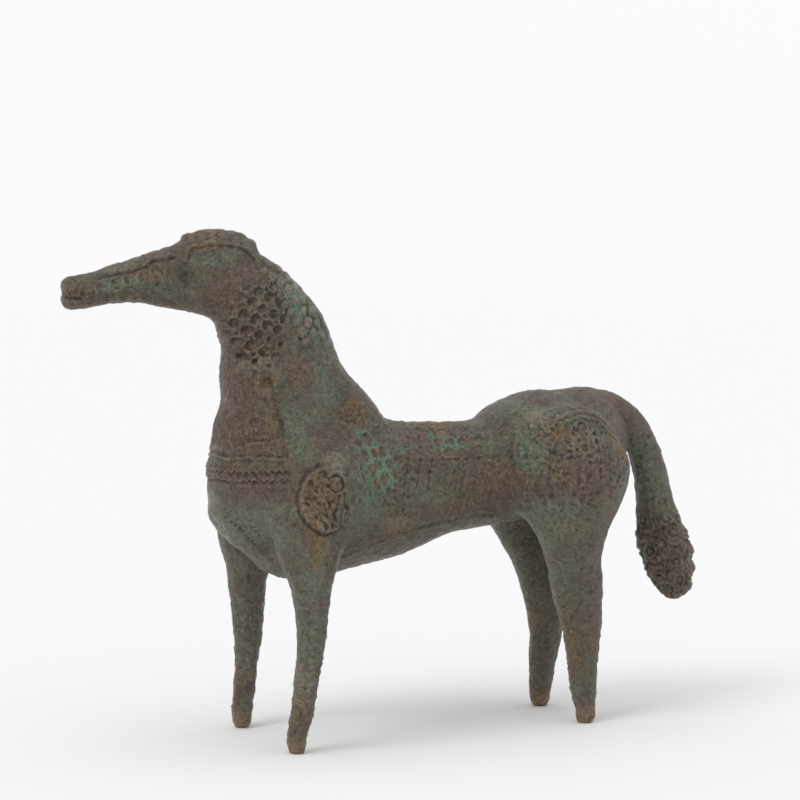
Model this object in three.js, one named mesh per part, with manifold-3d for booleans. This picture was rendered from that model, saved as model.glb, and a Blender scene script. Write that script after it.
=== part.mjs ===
// A cast bronze horse on four peg legs: long tube-like muzzle, domed cap of hair in place of ears,
// deep arched neck, narrow waist, round haunches and a tail that ends in a club of curls.
// Millimetres, +Z up. The horse faces -X and its left side is -Y. The origin is on the ground, under
// the middle of its bounding box.
//
// Every part of the body is a tapered form swept along a curve. The forms are melted together in one
// distance field and the carving is raised from it. The field is skinned with triangles, the skin is
// thinned where it is smooth, and the four feet are cut off flat on the ground.

import * as THREE from "three";
import * as BufferGeometryUtils from "three/addons/utils/BufferGeometryUtils.js";
import Module from "manifold-3d";

const { clamp, degToRad, lerp, smoothstep } = THREE.MathUtils;

// Driving dimensions.
const HEIGHT = 330; // ground to the top of the cap
const WHEELBASE = 213; // fore feet to hind feet
const FORE_SPREAD = 93; // between the centres of the fore feet
const HIND_SPREAD = 66; // between the centres of the hind feet
const BACK_HEIGHT = 202; // lowest point of the back
const CROUP_HEIGHT = 219; // top of the rump
const KEEL_HEIGHT = 105; // lowest point of the breast

// Landmarks. While the body is shaped, x is 0 half way between the fore and the hind feet.
const FORE_X = -WHEELBASE / 2;
const HIND_X = WHEELBASE / 2;
const FORE_Y = FORE_SPREAD / 2;
const HIND_Y = HIND_SPREAD / 2;
const CAP_Z = HEIGHT - 13.7;

// Mesh resolution.
const CELL = 2.4; // grid of the skin
const TRIANGLES = 9600; // left after thinning
const SAMPLES = 40; // steps along each swept form
const LOW = [-256, -88, -7]; // corners of the grid
const HIGH = [216, 88, HEIGHT + 8];

// The forms, each a row of stations along its curve. `deep` is the half size across the curve in the
// upright plane and `wide` the half size sideways.
const TORSO = [
  { x: -108, z: 158, deep: 36, wide: 34 },
  { x: -92, z: KEEL_HEIGHT + 49, deep: 49, wide: 45 },
  { x: -55, z: 157.5, deep: 48.5, wide: 45 },
  { x: -18, z: 160, deep: 44, wide: 40 },
  { x: 8, z: BACK_HEIGHT - 38.5, deep: 38, wide: 36 },
  { x: 33, z: 165, deep: 35.5, wide: 35 },
  { x: 52, z: 167, deep: 35.5, wide: 36 },
  { x: 71, z: 173, deep: 41, wide: 38 },
  { x: 93, z: CROUP_HEIGHT - 42, deep: 43, wide: 40 },
  { x: 118, z: 184.5, deep: 35, wide: 32 },
];

const NECK = [
  { x: -92, z: 165, deep: 50, wide: 42 },
  { x: -94, z: 196, deep: 49, wide: 37 },
  { x: -95, z: 222, deep: 41.5, wide: 31 },
  { x: -98.5, z: 241, deep: 39.5, wide: 28 },
  { x: -101.5, z: 257, deep: 36.5, wide: 26 },
  { x: -110, z: 274, deep: 32, wide: 23 },
  { x: -123, z: 289, deep: 27.5, wide: 21 },
  { x: -140, z: 298, deep: 22, wide: 18 },
];

const WITHERS = [
  { x: -77, z: 236, deep: 14, wide: 18 },
  { x: -62, z: 221, deep: 17, wide: 24 },
  { x: -46, z: 203, deep: 17.5, wide: 26 },
];

const HEAD = [
  { x: -138, z: 302, deep: 22, wide: 18 },
  { x: -158, z: 300.5, deep: 22, wide: 16.5 },
  { x: -178, z: 299.7, deep: 18.3, wide: 13.5 },
  { x: -198, z: 298.8, deep: 13.9, wide: 11 },
  { x: -218, z: 295, deep: 11.2, wide: 9.5 },
  { x: -232, z: 293.3, deep: 11, wide: 9 },
  { x: -239, z: 292.3, deep: 10.5, wide: 8.5 },
];

const CAP = [
  { x: -156, z: CAP_Z - 1, deep: 12.5, wide: 14 },
  { x: -143, z: CAP_Z, deep: 13.5, wide: 17 },
  { x: -130, z: CAP_Z - 1, deep: 13, wide: 16 },
  { x: -121, z: CAP_Z - 3, deep: 10, wide: 12 },
];

const FORELEG = [
  { x: -86, y: 35, z: 168, deep: 32, wide: 21 },
  { x: -97.5, y: 48, z: 134, deep: 24, wide: 18 },
  { x: -98.6, y: 53.5, z: 104, deep: 13, wide: 13 },
  { x: -98.6, y: 53, z: 72, deep: 9.4, wide: 9.2 },
  { x: -100.5, y: 50.5, z: 50, deep: 8, wide: 8 },
  { x: -103.8, y: 48, z: 22, deep: 7.2, wide: 7 },
  { x: FORE_X + 0.5, y: FORE_Y, z: 10, deep: 6.6, wide: 6.4 },
  { x: FORE_X + 0.5, y: FORE_Y, z: 3, deep: 5.8, wide: 5.8 },
];

// Fillets between the forms. The armpit opens out from the leg's own height to the shoulder's.
const FILLET = { neck: 12, withers: 8, head: 10, cap: 3, leg: 8, shoulder: 24, hip: 9, tail: 4 };
const ARMPIT = { low: 120, high: 170 };

// How far the rounded ends reach, as a share of the form's half size there.
const BLUNT = { head: 0.5, cap: 0.6 };

// Above the knee the left foreleg is a little leaner than its stations, the right one a little stouter.
const STOUTNESS = { left: -0.4, right: 1, low: 25, full: 80 };

const HINDLEG = [
  { x: 93, y: 30, z: 190, deep: 32, wide: 20 },
  { x: 92.5, y: 36, z: 170, deep: 42.5, wide: 24 },
  { x: 93.5, y: 37, z: 150, deep: 38, wide: 23 },
  { x: 96, y: 34, z: 128, deep: 24.5, wide: 20 },
  { x: 101, y: 27, z: 105, deep: 18, wide: 17 },
  { x: 105, y: 24, z: 88, deep: 17.5, wide: 15 },
  { x: 107, y: 24, z: 75, deep: 15.5, wide: 13 },
  { x: 107.5, y: 27, z: 52, deep: 11.3, wide: 11 },
  { x: HIND_X, y: 30, z: 25, deep: 9, wide: 8.6 },
  { x: HIND_X, y: HIND_Y, z: 10, deep: 7, wide: 7 },
  { x: HIND_X, y: HIND_Y, z: 3, deep: 6, wide: 6 },
];

const TAIL = [
  { x: 118, z: 206, deep: 12, wide: 13 },
  { x: 140, z: 204.5, deep: 11, wide: 12 },
  { x: 156.5, z: 192, deep: 11, wide: 11 },
  { x: 167, z: 176, deep: 10.5, wide: 10.5 },
  { x: 173.5, z: 153, deep: 11.5, wide: 11 },
  { x: 176, z: 139, deep: 12.5, wide: 12 },
  { x: 179, z: 124, deep: 16, wide: 14 },
  { x: 184, z: 108, deep: 17.5, wide: 15 },
  { x: 189, z: 93, deep: 16.5, wide: 14 },
  { x: 191.5, z: 84, deep: 12, wide: 11 },
];

// A tapered form swept along a smooth curve through its stations: an ellipse at each of them, with
// rounded ends.
class Sweep {
  constructor(stations, endRounding = 1) {
    const along = new THREE.CatmullRomCurve3(
      stations.map(({ x, y = 0, z }) => new THREE.Vector3(x, y, z)),
    );
    const sizes = new THREE.CatmullRomCurve3(
      stations.map(({ deep, wide }) => new THREE.Vector3(deep, wide, 0)),
      false,
      "catmullrom",
    );
    this.endRounding = endRounding;
    this.rings = [];
    for (let i = 0; i <= SAMPLES; i++) {
      const tangent = along.getTangent(i / SAMPLES);
      const side = new THREE.Vector3(0, 1, 0).addScaledVector(tangent, -tangent.y).normalize();
      const across = new THREE.Vector3().crossVectors(tangent, side);
      const { x: deep, y: wide } = sizes.getPoint(i / SAMPLES);
      this.rings.push({ at: along.getPoint(i / SAMPLES), tangent, side, across, deep, wide });
    }
  }

  // About how far the point is outside the form, negative inside it.
  distance(x, y, z) {
    let least = Infinity;
    let step = 0;
    let share = 0;
    for (let i = 0; i < SAMPLES; i++) {
      const a = this.rings[i].at;
      const b = this.rings[i + 1].at;
      const ax = b.x - a.x;
      const ay = b.y - a.y;
      const az = b.z - a.z;
      const t = ((x - a.x) * ax + (y - a.y) * ay + (z - a.z) * az) / (ax * ax + ay * ay + az * az);
      const s = t < 0 ? 0 : t > 1 ? 1 : t;
      const square = (x - a.x - s * ax) ** 2 + (y - a.y - s * ay) ** 2 + (z - a.z - s * az) ** 2;
      if (square < least) {
        least = square;
        step = i;
        share = s;
      }
    }
    const a = this.rings[step];
    const b = this.rings[step + 1];
    const dx = x - lerp(a.at.x, b.at.x, share);
    const dy = y - lerp(a.at.y, b.at.y, share);
    const dz = z - lerp(a.at.z, b.at.z, share);
    const onto = (name) =>
      dx * lerp(a[name].x, b[name].x, share) +
      dy * lerp(a[name].y, b[name].y, share) +
      dz * lerp(a[name].z, b[name].z, share);
    const deep = lerp(a.deep, b.deep, share);
    const wide = lerp(a.wide, b.wide, share);
    const atEnd = (step === 0 && share === 0) || (step === SAMPLES - 1 && share === 1);
    const past = atEnd ? onto("tangent") / (Math.min(deep, wide) * this.endRounding) : 0;
    const reach = Math.hypot(onto("across") / deep, onto("side") / wide, past);
    return reach < 1e-6 ? -Math.min(deep, wide) : Math.sqrt(least) * (1 - 1 / reach);
  }
}

// Joins two distances with a fillet of about the given radius.
function melt(a, b, radius) {
  const overlap = Math.max(radius - Math.abs(a - b), 0) / radius;
  return Math.min(a, b) - overlap * overlap * radius * 0.25;
}

const torso = new Sweep(TORSO);
const neck = new Sweep(NECK);
const withers = new Sweep(WITHERS);
const head = new Sweep(HEAD, BLUNT.head);
const cap = new Sweep(CAP, BLUNT.cap);
const foreleg = new Sweep(FORELEG);
const hindleg = new Sweep(HINDLEG);
const tail = new Sweep(TAIL);

// The body without its carving.
function form(x, y, z) {
  const side = Math.abs(y);
  const stoutness = (y < 0 ? STOUTNESS.left : STOUTNESS.right) * smoothstep(z, STOUTNESS.low, STOUTNESS.full);
  const armpit = lerp(FILLET.leg, FILLET.shoulder, smoothstep(z, ARMPIT.low, ARMPIT.high));
  let d = melt(torso.distance(x, side, z), neck.distance(x, side, z), FILLET.neck);
  d = melt(d, withers.distance(x, side, z), FILLET.withers);
  d = melt(d, head.distance(x, side, z), FILLET.head);
  d = melt(d, cap.distance(x, side, z), FILLET.cap);
  d = melt(d, foreleg.distance(x, side, z) - stoutness, armpit);
  d = melt(d, hindleg.distance(x, side, z), FILLET.hip);
  return melt(d, tail.distance(x, side, z), FILLET.tail);
}

// Carving. Each function below gives how far the surface stands out at a point, in millimetres. `side`
// is the distance from the upright middle plane, so both flanks carry the same pattern.

// A soft swelling, 1 at distance 0 and 0 from the given reach on.
function swell(distance, reach) {
  const rest = Math.max(0, 1 - (distance / reach) ** 2);
  return rest * rest;
}

// 1 on the flank, 0 where the surface comes nearer to the middle plane than the given distance.
function onFlank(side, inner) {
  return smoothstep(side, inner, inner + 8);
}

// How far out the point lies in an upright oval: 0 in its centre, 1 on its outline.
function ovalShare(x, z, oval) {
  return Math.hypot((x - oval.x) / oval.along, (z - oval.z) / oval.high);
}

// A line drawn on the flank through points [x, z].
class Stroke {
  constructor(through) {
    const curve = new THREE.SplineCurve(through.map(([x, z]) => new THREE.Vector2(x, z)));
    this.points = curve.getPoints(through.length * 4);
    this.box = new THREE.Box2().setFromPoints(this.points);
    this.here = new THREE.Vector2();
  }

  // 1 on the line, falling to 0 at the given reach.
  swell(x, z, reach) {
    this.here.set(x, z);
    if (this.box.distanceToPoint(this.here) > reach) return 0;
    let least = Infinity;
    for (let i = 1; i < this.points.length; i++) {
      const a = this.points[i - 1];
      const b = this.points[i];
      const ux = b.x - a.x;
      const uz = b.y - a.y;
      const share = clamp(((x - a.x) * ux + (z - a.y) * uz) / (ux * ux + uz * uz), 0, 1);
      least = Math.min(least, Math.hypot(x - a.x - share * ux, z - a.y - share * uz));
    }
    return swell(least, reach);
  }
}

// The strongest of several strokes.
function strokes(list, x, z, reach) {
  return Math.max(...list.map((stroke) => stroke.swell(x, z, reach)));
}

// Points along an arc, or along a spiral where the end radius differs. Angles are in degrees.
function arc(centre, radius, from, to, endRadius = radius) {
  const steps = 8;
  return Array.from({ length: steps + 1 }, (_, i) => {
    const angle = degToRad(lerp(from, to, i / steps));
    const r = lerp(radius, endRadius, i / steps);
    return [centre[0] + r * Math.cos(angle), centre[1] + r * Math.sin(angle)];
  });
}

// Head: a groove under the raised strip of the nose, a row of round hollows on the cheek, a mouth cut
// between two lips, and a deep eye hollow under the brow.
const NOSE_GROOVE = new Stroke([[-236, 301.5], [-222, 302.5], [-196, 306.5], [-180, 311], [-166, 315]]);
const NOSE_CUT = { reach: 3, depth: 1.4 };
const HOLLOWS = { count: 5, first: [-222, 296], last: [-185, 304.5], radius: 4, depth: 1.3 };
const MOUTH = { end: -231, z: 292, reach: 2.8, depth: 2.2 };
const LOWER_LIP = { x: -241, z: 286, along: 8, high: 7, height: 1.6 };
const EYE = { x: -163.5, z: 300.5, along: 5.5, high: 10, depth: 3.2, inner: 2 };

function headCarving(x, side, z) {
  let height = -NOSE_CUT.depth * NOSE_GROOVE.swell(x, z, NOSE_CUT.reach);
  for (let i = 0; i < HOLLOWS.count; i++) {
    const share = i / (HOLLOWS.count - 1);
    const dx = x - lerp(HOLLOWS.first[0], HOLLOWS.last[0], share);
    const dz = z - lerp(HOLLOWS.first[1], HOLLOWS.last[1], share);
    height -= HOLLOWS.depth * swell(Math.hypot(dx, dz), HOLLOWS.radius);
  }
  height -= MOUTH.depth * swell(Math.hypot(Math.max(0, x - MOUTH.end), z - MOUTH.z), MOUTH.reach);
  height += LOWER_LIP.height * swell(ovalShare(x, z, LOWER_LIP), 1);
  return height - EYE.depth * swell(ovalShare(x, z, EYE), 1) * onFlank(side, EYE.inner);
}

// Cap: its hem stands out in front and behind, with low waves of hair across the top.
const HEM = { front: -163, back: -116, reach: 5, height: 1.2, low: 306, high: 316 };
const WAVES = { pitch: 8.4, height: 0.35, low: 314, high: 324 };

function capCarving(x, side, z) {
  const hem = swell(x - HEM.front, HEM.reach) + swell(x - HEM.back, HEM.reach);
  const wave = Math.sin((2 * Math.PI * x) / WAVES.pitch) * smoothstep(z, WAVES.low, WAVES.high);
  return HEM.height * hem * smoothstep(z, HEM.low, HEM.high) + WAVES.height * wave;
}

// Neck: an oval field of round hollows in slanting rows, like scales, on each side.
const SCALES = { pitch: 8.3, turn: degToRad(-25), radius: 4.3, depth: 1.5, inner: 7 };
const SCALE_FIELD = { x: -108, z: 262, along: 24, high: 32, lean: 0.35, fade: [0.85, 1.1] };

function neckCarving(x, side, z) {
  const dx = x - SCALE_FIELD.x;
  const dz = z - SCALE_FIELD.z;
  const within = 1 - smoothstep(ovalShare(x + dz * SCALE_FIELD.lean, z, SCALE_FIELD), ...SCALE_FIELD.fade);
  const u = (dx * Math.cos(SCALES.turn) + dz * Math.sin(SCALES.turn)) / SCALES.pitch;
  const v = (dz * Math.cos(SCALES.turn) - dx * Math.sin(SCALES.turn)) / SCALES.pitch;
  const away = Math.hypot(u - Math.round(u), v - Math.round(v)) * SCALES.pitch;
  return -SCALES.depth * swell(away, SCALES.radius) * within * onFlank(side, SCALES.inner);
}

// Breast: a raised band round the front with a groove along it, closed by a seam down each side of the
// neck, and a fold that runs from the seam's foot down to the keel.
const BAND = { low: 173, high: 187, edge: 2, height: 1.6, groove: 182, grooveReach: 2, grooveDepth: 1.2 };
const BAND_END = -111; // x of the seam at the height of the band
const SEAM_LINE = [[-126, 232], [-116.5, 205], [-110, 180], [-108.5, 160], [-110, 130]];
const SEAM = new Stroke(SEAM_LINE);
const SEAM_SHADOW = new Stroke(SEAM_LINE.map(([x, z]) => [x - 4.5, z]));
const SEAM_SHAPE = { reach: 4, height: 1.5, depth: 1.2, inner: 11 };
const FOLD = new Stroke([[-152, 162], [-141, 145], [-127, 131], [-114, 120], [-98, 109]]);
const FOLD_SHAPE = { reach: 4, height: 1.6, outer: 30 };

function breastCarving(x, side, z) {
  const front = 1 - smoothstep(x, BAND_END - BAND.edge, BAND_END + BAND.edge);
  const rise = smoothstep(z, BAND.low - BAND.edge, BAND.low + BAND.edge);
  const fall = smoothstep(z, BAND.high - BAND.edge, BAND.high + BAND.edge);
  const groove = BAND.grooveDepth * swell(z - BAND.groove, BAND.grooveReach);
  const band = front * (BAND.height * (rise - fall) - groove);
  const { reach, height, depth, inner } = SEAM_SHAPE;
  const seam = height * SEAM.swell(x, z, reach) - depth * SEAM_SHADOW.swell(x, z, reach);
  const fold = FOLD_SHAPE.height * FOLD.swell(x, z, FOLD_SHAPE.reach) * (1 - onFlank(side, FOLD_SHAPE.outer));
  return band + seam * onFlank(side, inner) + fold;
}

// Shoulder: a raised disc with a rim, a boss, a spiral lock and looped locks, and a smooth oval that
// looks out over its upper edge.
const DISC = { x: -90, z: 163, along: 18.5, high: 21, lean: 0.12, height: 1.6, slope: 0.07, inner: 24 };
const RIM = { share: 0.9, reach: 0.13, height: 0.9 };
const BOSS = { x: -81.5, z: 175, radius: 5.5, height: 2, ringReach: 1.8, ringDepth: 0.9 };
const OVAL = { x: -79, z: 184, along: 15, high: 11, height: 1.5 };
const LOCK = { reach: 2.6, height: 1.6 };
const LOCKS = [
  arc([DISC.x - 6, DISC.z + 4], 9, 60, 400, 2.5),
  [[-86, 145], [-84, 156], [-80, 165], [-75, 158], [-73, 149]],
  [[-92, 143], [-90, 153], [-87, 160], [-84, 152]],
  [[-104, 158], [-101, 150], [-95, 146]],
].map((points) => new Stroke(points));

function shoulderCarving(x, side, z) {
  if (side < DISC.inner) return 0;
  const share = ovalShare(x - (z - DISC.z) * DISC.lean, z, DISC);
  const disc = 1 - smoothstep(share, 1 - DISC.slope, 1 + DISC.slope);
  const fromBoss = Math.hypot(x - BOSS.x, z - BOSS.z);
  const locks = LOCK.height * strokes(LOCKS, x, z, LOCK.reach);
  const boss = BOSS.height * swell(fromBoss, BOSS.radius);
  const ring = BOSS.ringDepth * swell(fromBoss - BOSS.radius, BOSS.ringReach);
  const rim = RIM.height * swell(share - RIM.share, RIM.reach);
  const oval = OVAL.height * swell(ovalShare(x, z, OVAL), 1) * (1 - disc);
  return onFlank(side, DISC.inner) * (disc * (DISC.height + locks) + rim + boss - ring + oval);
}

// Haunch: a raised pad with a rim over the top and the rear, and curled locks and upright folds on it.
const PAD = { x: 91, z: 175, along: 41, high: 37, height: 1.2, slope: 0.045, low: 160, full: 178, inner: 27 };
const PAD_RIM = { share: 0.94, reach: 0.08, height: 0.9 };
const CURL = { reach: 2.8, height: 1.5 };
const CURLS = [
  arc([74, 200], 7.5, -60, 240, 3),
  arc([93, 201], 5.5, 0, 180),
  arc([104, 199], 5, 0, 180),
  [[62, 190], [68, 181], [78, 178]],
  [[84, 192], [86, 182], [84, 172]],
  [[97, 194], [99, 184], [98, 174]],
  [[109, 192], [112, 182], [112, 172]],
].map((points) => new Stroke(points));

function haunchCarving(x, side, z) {
  if (side < PAD.inner) return 0;
  const share = ovalShare(x, z, PAD);
  const pad = PAD.height * (1 - smoothstep(share, 1 - PAD.slope, 1 + PAD.slope));
  const rim = PAD_RIM.height * swell(share - PAD_RIM.share, PAD_RIM.reach);
  const curls = CURL.height * strokes(CURLS, x, z, CURL.reach);
  return onFlank(side, PAD.inner) * ((pad + rim) * smoothstep(z, PAD.low, PAD.full) + curls);
}

// Tail: the club steps out from the stem and is wrapped in curls that climb round it.
const CLUB = { x: 183, top: 132, step: 2, tip: 72, tipBlend: 12, height: 0.3 };
const CLUB_CURLS = { around: 3, climb: 0.12, bands: 0.36, height: 1.5 };

function tailCarving(x, side, z, y) {
  const around = Math.atan2(y, x - CLUB.x);
  const { climb, bands } = CLUB_CURLS;
  const curls = Math.sin(CLUB_CURLS.around * around + z * climb) * Math.sin(around - z * bands);
  const club = 1 - smoothstep(z, CLUB.top - CLUB.step, CLUB.top + CLUB.step);
  return club * (CLUB.height + CLUB_CURLS.height * curls * smoothstep(z, CLUB.tip, CLUB.tip + CLUB.tipBlend));
}

// Where each carving applies, as the lowest and highest x and z.
const CARVINGS = [
  { low: [-260, 270], high: [-150, HEIGHT + 10], height: headCarving },
  { low: [-175, 300], high: [-105, HEIGHT + 10], height: capCarving },
  { low: [-145, 220], high: [-60, 300], height: neckCarving },
  { low: [-160, 100], high: [-90, 240], height: breastCarving },
  { low: [-125, 130], high: [-50, 205], height: shoulderCarving },
  { low: [40, 140], high: [145, 230], height: haunchCarving },
  { low: [150, 50], high: [220, 140], height: tailCarving },
];
const DEEPEST = 12; // no carving matters farther than this from the surface

function horse(x, y, z) {
  let d = form(x, y, z);
  if (Math.abs(d) > DEEPEST) return d;
  for (const { low, high, height } of CARVINGS)
    if (x > low[0] && x < high[0] && z > low[1] && z < high[1]) d -= height(x, Math.abs(y), z, y);
  return d;
}

// Two parts of the inside that meet only across the diagonal of a grid face or cell would share an edge
// or a point of the skin. This takes an outside corner between them in, until no such place is left.
function joinDiagonals(value, step) {
  const BARELY = -1e-3;
  const [u, v, w] = step;
  const faces = [[u, v], [v, w], [w, u]];
  const cell = [0, u, v, u + v, w, u + w, v + w, u + v + w];
  const last = value.length - u - v - w;
  const takeIn = (corners) => {
    const outside = corners.filter((c) => value[c] >= 0);
    outside.sort((a, b) => value[a] - value[b]);
    value[outside[0]] = BARELY;
  };
  for (let changed = true; changed; ) {
    changed = false;
    for (let base = 0; base < last; base++) {
      const inside = value[base] < 0;
      for (const [s, t] of faces) {
        if (inside !== value[base + s + t] < 0) continue;
        if (inside === value[base + s] < 0 || inside === value[base + t] < 0) continue;
        takeIn([base, base + s, base + t, base + s + t]);
        changed = true;
      }
      if (inside !== value[base + u + v + w] < 0) continue;
      if (cell.some((c, n) => n > 0 && n < 7 && inside === value[base + c] < 0)) continue;
      takeIn(cell.map((c) => base + c));
      changed = true;
    }
  }
}

// Skins the zero surface of a field with quads, one point in each grid cell that the surface crosses,
// and returns { points, triangles } as flat arrays.
function skin(field, low, high, cell) {
  const count = low.map((l, i) => Math.ceil((high[i] - l) / cell) + 1);
  const step = [1, count[0], count[0] * count[1]];
  const value = new Float32Array(count[0] * count[1] * count[2]);
  const BLOCK = 4;
  const sure = cell * BLOCK * 2.2;
  for (let k = 0; k < count[2]; k += BLOCK)
    for (let j = 0; j < count[1]; j += BLOCK)
      for (let i = 0; i < count[0]; i += BLOCK) {
        const middle = (n, axis) => low[axis] + (n + BLOCK / 2) * cell;
        const rough = field(middle(i, 0), middle(j, 1), middle(k, 2));
        const far = Math.abs(rough) > sure;
        for (let c = k; c < Math.min(k + BLOCK, count[2]); c++)
          for (let b = j; b < Math.min(j + BLOCK, count[1]); b++)
            for (let a = i; a < Math.min(i + BLOCK, count[0]); a++)
              value[a + b * step[1] + c * step[2]] = far
                ? rough
                : field(low[0] + a * cell, low[1] + b * cell, low[2] + c * cell);
      }
  joinDiagonals(value, step);

  const points = [];
  const triangles = [];
  const pointOf = new Int32Array(value.length).fill(-1);
  const corner = [0, 1, step[1], step[1] + 1].flatMap((o) => [o, o + step[2]]);
  const edges = [];
  for (const o of corner)
    for (let axis = 0; axis < 3; axis++) if (corner.includes(o + step[axis])) edges.push([o, axis]);
  const place = (index) => [
    index % count[0],
    Math.floor(index / step[1]) % count[1],
    Math.floor(index / step[2]),
  ];
  for (let k = 0; k < count[2] - 1; k++)
    for (let j = 0; j < count[1] - 1; j++)
      for (let i = 0; i < count[0] - 1; i++) {
        const base = i + j * step[1] + k * step[2];
        let crossings = 0;
        const sum = [0, 0, 0];
        for (const [o, axis] of edges) {
          const a = value[base + o];
          const b = value[base + o + step[axis]];
          if (a < 0 === b < 0) continue;
          const from = place(base + o);
          from[axis] += a / (a - b);
          for (let n = 0; n < 3; n++) sum[n] += from[n];
          crossings++;
        }
        if (!crossings) continue;
        pointOf[base] = points.length / 3;
        for (let n = 0; n < 3; n++) points.push(low[n] + (sum[n] / crossings) * cell);
      }
  for (let k = 1; k < count[2] - 1; k++)
    for (let j = 1; j < count[1] - 1; j++)
      for (let i = 1; i < count[0] - 1; i++) {
        const base = i + j * step[1] + k * step[2];
        for (let axis = 0; axis < 3; axis++) {
          const inside = value[base] < 0;
          if (inside === value[base + step[axis]] < 0) continue;
          const s = step[(axis + 1) % 3];
          const t = step[(axis + 2) % 3];
          const quad = [base, base - s, base - s - t, base - t].map((c) => pointOf[c]);
          if (!inside) quad.reverse();
          triangles.push(quad[0], quad[1], quad[2], quad[0], quad[2], quad[3]);
        }
      }
  return { points: Float64Array.from(points), triangles: Int32Array.from(triangles) };
}

// Thins a closed mesh to the wanted number of triangles. Again and again it collapses the edge whose
// loss moves the surface least, measured by the squared distances to the planes that meet there.
function thin({ points, triangles }, wanted) {
  const position = Array.from({ length: points.length / 3 }, (_, v) =>
    new THREE.Vector3().fromArray(points, v * 3),
  );
  const quadric = position.map(() => new Float64Array(10));
  const stamp = new Int32Array(position.length);
  const facesOf = position.map(() => []);
  const faces = [];
  const normal = new THREE.Vector3();
  const ab = new THREE.Vector3();
  const ac = new THREE.Vector3();
  const cross = (a, b, c) => normal.crossVectors(ab.subVectors(b, a), ac.subVectors(c, a));
  for (let i = 0; i < triangles.length; i += 3) {
    const face = [triangles[i], triangles[i + 1], triangles[i + 2]];
    const [a, b, c] = face.map((v) => position[v]);
    const area = cross(a, b, c).length() / 2;
    if (area > 0) normal.normalize();
    const { x, y, z } = normal;
    const w = -normal.dot(a);
    const plane = [x * x, x * y, x * z, x * w, y * y, y * z, y * w, z * z, z * w, w * w];
    for (const v of face) {
      facesOf[v].push(faces.length);
      plane.forEach((value, n) => (quadric[v][n] += value * area));
    }
    faces.push(face);
  }

  // A heap of the edges, cheapest first.
  const heap = [];
  const swap = (i, j) => ([heap[i], heap[j]] = [heap[j], heap[i]]);
  const push = (edge) => {
    let i = heap.push(edge) - 1;
    while (i > 0 && heap[(i - 1) >> 1].cost > heap[i].cost) {
      swap(i, (i - 1) >> 1);
      i = (i - 1) >> 1;
    }
  };
  const pop = () => {
    swap(0, heap.length - 1);
    const cheapest = heap.pop();
    for (let i = 0; ; ) {
      let least = i;
      for (const child of [2 * i + 1, 2 * i + 2])
        if (child < heap.length && heap[child].cost < heap[least].cost) least = child;
      if (least === i) return cheapest;
      swap(i, least);
      i = least;
    }
  };

  // The cost of an edge and the point that it would shrink to.
  const HOLD = 0.003; // how strongly that point is held to the middle of the edge
  const weigh = (a, b) => {
    const q = quadric[a].map((value, n) => value + quadric[b][n]);
    const middle = position[a].clone().lerp(position[b], 0.5);
    const hold = HOLD * (q[0] + q[4] + q[7]) + 1e-9;
    const matrix = new THREE.Matrix3();
    matrix.set(q[0] + hold, q[1], q[2], q[1], q[4] + hold, q[5], q[2], q[5], q[7] + hold);
    const at = new THREE.Vector3(-q[3], -q[6], -q[8]).addScaledVector(middle, hold);
    at.applyMatrix3(matrix.invert());
    if (at.distanceTo(middle) > 2 * position[a].distanceTo(position[b])) at.copy(middle);
    const { x, y, z } = at;
    const cost =
      q[0] * x * x + q[4] * y * y + q[7] * z * z + q[9] +
      2 * (q[1] * x * y + q[2] * x * z + q[5] * y * z + q[3] * x + q[6] * y + q[8] * z);
    const length = position[a].distanceToSquared(position[b]);
    push({ a, b, at, cost: cost + length * hold * 0.1, stamps: stamp[a] + stamp[b] });
  };
  const neighbours = (v) => {
    const found = new Set(facesOf[v].flatMap((f) => faces[f]));
    found.delete(v);
    return found;
  };
  const before = new THREE.Vector3();
  const flips = (v, other, at) =>
    facesOf[v].some((f) => {
      if (faces[f].includes(other)) return false;
      before.copy(cross(...faces[f].map((n) => position[n])));
      const after = cross(...faces[f].map((n) => (n === v ? at : position[n])));
      return after.dot(before) < 0.3 * after.length() * before.length() || after.length() < 0.02;
    });

  for (let v = 0; v < position.length; v++) for (const n of neighbours(v)) if (v < n) weigh(v, n);
  let left = faces.length;
  while (left > wanted && heap.length) {
    const { a, b, at, stamps } = pop();
    if (stamp[a] < 0 || stamp[b] < 0 || stamp[a] + stamp[b] !== stamps) continue;
    const around = neighbours(a);
    if (!around.has(b)) continue;
    const shared = [...neighbours(b)].filter((n) => around.has(n));
    if (shared.length !== 2 || flips(a, b, at) || flips(b, a, at)) continue;
    const gone = facesOf[a].filter((f) => faces[f].includes(b));
    for (const f of gone) {
      for (const v of faces[f]) facesOf[v] = facesOf[v].filter((n) => n !== f);
      faces[f] = null;
    }
    left -= gone.length;
    for (const f of facesOf[b]) faces[f] = faces[f].map((v) => (v === b ? a : v));
    facesOf[a].push(...facesOf[b]);
    facesOf[b] = [];
    quadric[a] = quadric[a].map((value, n) => value + quadric[b][n]);
    position[a].copy(at);
    stamp[b] = -1;
    stamp[a]++;
    for (const n of neighbours(a)) weigh(a, n);
  }
  return { points: position.flatMap((p) => p.toArray()), triangles: faces.filter(Boolean).flat() };
}

const wasm = await Module();
wasm.setup();

// A closed geometry as a solid that can be cut.
function solidOf(geometry) {
  const bare = geometry.clone();
  bare.deleteAttribute("normal");
  bare.deleteAttribute("uv");
  const merged = BufferGeometryUtils.mergeVertices(bare, 1e-4);
  const vertProperties = Float32Array.from(merged.attributes.position.array);
  const triVerts = Uint32Array.from(merged.index.array);
  return new wasm.Manifold(new wasm.Mesh({ numProp: 3, vertProperties, triVerts }));
}

function geometryOf(solid) {
  const { vertProperties, triVerts } = solid.getMesh();
  const geometry = new THREE.BufferGeometry();
  geometry.setAttribute("position", new THREE.BufferAttribute(vertProperties, 3));
  geometry.setIndex(new THREE.BufferAttribute(triVerts, 1));
  return geometry;
}

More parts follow.
